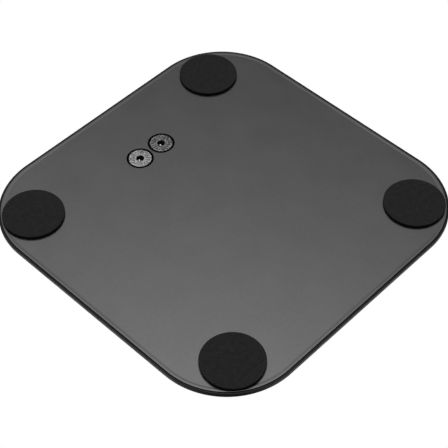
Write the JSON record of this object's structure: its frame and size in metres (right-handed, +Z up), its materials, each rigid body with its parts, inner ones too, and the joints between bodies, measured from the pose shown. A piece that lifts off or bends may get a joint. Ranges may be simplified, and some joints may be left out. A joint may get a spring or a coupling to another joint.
{
  "type": "digital bathroom scale",
  "caption": "Slim square digital bathroom scale with rounded corners: steel pan in a plastic frame, glass platform, rear display, sprung pad feet and two screw-in battery caps underneath.",
  "frame": {"origin": "on the floor, under the middle of the pan", "axes": "+Z up, +Y towards the rear, where the display and the battery caps are, +X to the right of a user who faces +Y"},
  "size_m": [0.3, 0.3, 0.0132],
  "materials": {
    "pan_steel": "satin dark grey powder coat on formed steel",
    "frame_plastic": "fine moulded black",
    "platform_glass": "polished tempered glass, printed black underneath",
    "foam_tape": "closed-cell foam",
    "pad_rubber": "matte black, finely textured",
    "bright_steel": "turned",
    "insert_steel": "turned, slightly stained",
    "spring_steel": "stamped",
    "sealant": "white sealing compound",
    "grey_plastic": "moulded",
    "lead_sheath": "soft sheath",
    "board_laminate": "solder mask",
    "chip_epoxy": "potted",
    "chip_plastic": "moulded",
    "can_metal": "drawn can",
    "ferrite": "sintered",
    "socket_plastic": "moulded",
    "display_glass": "liquid crystal panel",
    "diffuser": "light guide",
    "elastomer": "layered strip",
    "black_plastic": "moulded",
    "cell_steel": "nickel-plated can",
    "seal_rubber": "flat ring",
    "contact_metal": "sprung strip"
  },
  "bodies": {
    "scale_body": {"base_pan": "pan_steel", "mid_frame": "frame_plastic", "platform_glass": "platform_glass", "bond_tape": "foam_tape", "load_cell_front_left": "spring_steel", "load_cell_front_right": "spring_steel", "load_cell_rear_left": "spring_steel", "load_cell_rear_right": "spring_steel", "strain_gauge_front_left": "sealant", "strain_gauge_front_right": "sealant", "strain_gauge_rear_left": "sealant", "strain_gauge_rear_right": "sealant", "cell_retainer_front_left": "grey_plastic", "cell_retainer_front_right": "grey_plastic", "cell_retainer_rear_left": "grey_plastic", "cell_retainer_rear_right": "grey_plastic", "load_cell_lead_front_left": "lead_sheath", "load_cell_lead_front_right": "lead_sheath", "load_cell_lead_rear_left": "lead_sheath", "load_cell_lead_rear_right": "lead_sheath", "main_board": "board_laminate", "controller_chip": "chip_epoxy", "adc_chip": "chip_plastic", "crystal": "can_metal", "boost_inductor": "ferrite", "left_socket": "socket_plastic", "right_socket": "socket_plastic", "lcd_panel": "display_glass", "lcd_bezel": "grey_plastic", "backlight": "diffuser", "front_zebra_strip": "elastomer", "rear_zebra_strip": "elastomer", "battery_holder": "black_plastic", "top_contact_left": "contact_metal", "top_contact_right": "contact_metal", "side_contact_left": "contact_metal", "side_contact_right": "contact_metal"},
    "front_left_foot": {"foot_pad_front_left": "pad_rubber", "foot_stud_front_left": "bright_steel"},
    "front_right_foot": {"foot_pad_front_right": "pad_rubber", "foot_stud_front_right": "bright_steel"},
    "rear_left_foot": {"foot_pad_rear_left": "pad_rubber", "foot_stud_rear_left": "bright_steel"},
    "rear_right_foot": {"foot_pad_rear_right": "pad_rubber", "foot_stud_rear_right": "bright_steel"},
    "left_coin": {"coin_cell_left": "cell_steel"},
    "left_seal": {"cap_gasket_left": "seal_rubber"},
    "left_cap": {"battery_cap_left": "black_plastic", "cap_insert_left": "insert_steel"},
    "right_coin": {"coin_cell_right": "cell_steel"},
    "right_seal": {"cap_gasket_right": "seal_rubber"},
    "right_cap": {"battery_cap_right": "black_plastic", "cap_insert_right": "insert_steel"}
  },
  "joints": [
    {"name": "front_left_foot_travel", "type": "slide", "parent": "scale_body", "child": "front_left_foot", "axis": [0, 0, 1], "range_m": [0, 0.0004], "stiffness_N_per_m": 300000},
    {"name": "front_right_foot_travel", "type": "slide", "parent": "scale_body", "child": "front_right_foot", "axis": [0, 0, 1], "range_m": [0, 0.0004], "stiffness_N_per_m": 300000},
    {"name": "rear_left_foot_travel", "type": "slide", "parent": "scale_body", "child": "rear_left_foot", "axis": [0, 0, 1], "range_m": [0, 0.0004], "stiffness_N_per_m": 300000},
    {"name": "rear_right_foot_travel", "type": "slide", "parent": "scale_body", "child": "rear_right_foot", "axis": [0, 0, 1], "range_m": [0, 0.0004], "stiffness_N_per_m": 300000},
    {"name": "left_coin_removal", "type": "slide", "parent": "scale_body", "child": "left_coin", "axis": [0, 0, -1], "range_m": [0, 0.012]},
    {"name": "left_cap_rise", "type": "slide", "parent": "left_coin", "child": "left_seal", "axis": [0, 0, -1], "range_m": [0, 0.002]},
    {"name": "left_cap_turn", "type": "hinge", "parent": "left_seal", "child": "left_cap", "pos_m": [-0.01235, 0.0865, 0.00275], "axis": [0, 0, -1], "range_deg": [0, 480.1]},
    {"name": "right_coin_removal", "type": "slide", "parent": "scale_body", "child": "right_coin", "axis": [0, 0, -1], "range_m": [0, 0.012]},
    {"name": "right_cap_rise", "type": "slide", "parent": "right_coin", "child": "right_seal", "axis": [0, 0, -1], "range_m": [0, 0.002]},
    {"name": "right_cap_turn", "type": "hinge", "parent": "right_seal", "child": "right_cap", "pos_m": [0.01235, 0.0865, 0.00275], "axis": [0, 0, -1], "range_deg": [0, 480.1]}
  ],
  "couplings": [
    {"joint": "left_cap_turn", "follows": "left_cap_rise", "rad_per_m": 4188.8},
    {"joint": "right_cap_turn", "follows": "right_cap_rise", "rad_per_m": 4188.8}
  ]
}
